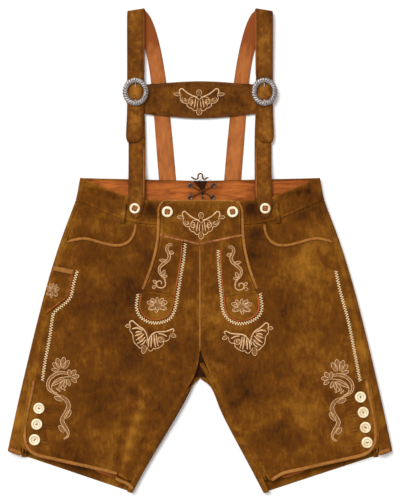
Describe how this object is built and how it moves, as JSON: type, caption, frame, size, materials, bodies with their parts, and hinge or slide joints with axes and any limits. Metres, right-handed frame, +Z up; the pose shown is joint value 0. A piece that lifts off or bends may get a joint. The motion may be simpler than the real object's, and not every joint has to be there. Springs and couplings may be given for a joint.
{
  "type": "lederhosen",
  "caption": "Short suede lederhosen with drop front, piped pockets, laced back and buckled shoulder straps with a chest band, laid flat.",
  "frame": {"origin": "middle of the garment's flat outline, on the surface it lies on", "axes": "+Z up out of the surface, on the front side; +Y from the hems towards the shoulder straps; +X towards the wearer's left leg, on the right as seen from the front"},
  "size_m": [0.706, 0.8891, 0.0236],
  "materials": {
    "suede": "mottled brown suede with a soft nap, pale along the edges",
    "dark_suede": "dark brown suede",
    "strap_leather": "brown suede face, orange-tan inner side",
    "lining": "smooth orange-tan leather, puckered",
    "piping": "rolled tan leather piping",
    "horn": "polished ivory-coloured horn",
    "buckle_silver": "antique silver, cast relief",
    "eyelet_metal": "dark nickel",
    "lace": "brown leather lace",
    "thread": "pale beige embroidery silk and cream stitching thread"
  },
  "bodies": {
    "root": {"back_hem_binding_left": "piping", "back_hem_binding_right": "piping", "back_left": "suede", "back_right": "suede", "back_tongue": "dark_suede", "belt_loop_left": "suede", "belt_loop_right": "suede", "buckle_left": "buckle_silver", "buckle_prong_left": "buckle_silver", "buckle_prong_right": "buckle_silver", "buckle_right": "buckle_silver", "centre_seam_piping": "piping", "chest_band": "strap_leather", "crotch_fold": "dark_suede", "eyelet_low_left": "eyelet_metal", "eyelet_low_right": "eyelet_metal", "eyelet_top_left": "eyelet_metal", "eyelet_top_right": "eyelet_metal", "flap_button_left": "horn", "flap_button_right": "horn", "flap_foot_left": "suede", "flap_foot_right": "suede", "flap_piping_left": "piping", "flap_piping_right": "piping", "flap_strip_left": "suede", "flap_strip_right": "suede", "flap_yoke": "suede", "front_left": "suede", "front_right": "suede", "front_strap_left": "strap_leather", "front_strap_right": "strap_leather", "hem_piping_left": "piping", "hem_piping_left_end": "piping", "hem_piping_right": "piping", "knife_pocket": "suede", "knife_pocket_binding": "piping", "lace": "lace", "lace_bow": "lace", "leg_button_left_1": "horn", "leg_button_left_2": "horn", "leg_button_left_3": "horn", "leg_button_right_1": "horn", "leg_button_right_2": "horn", "leg_button_right_3": "horn", "leg_button_right_4": "horn", "pocket_facing_left": "suede", "pocket_facing_right": "suede", "pocket_piping_left": "piping", "pocket_piping_right": "piping", "shoulder_strap_left": "strap_leather", "shoulder_strap_right": "strap_leather", "strap_button_left": "horn", "strap_button_right": "horn", "waistband_back_left": "suede", "waistband_back_right": "suede", "waistband_front_left": "suede", "waistband_front_right": "suede", "waistband_lining_left": "lining", "waistband_lining_right": "lining"}
  },
  "joints": []
}
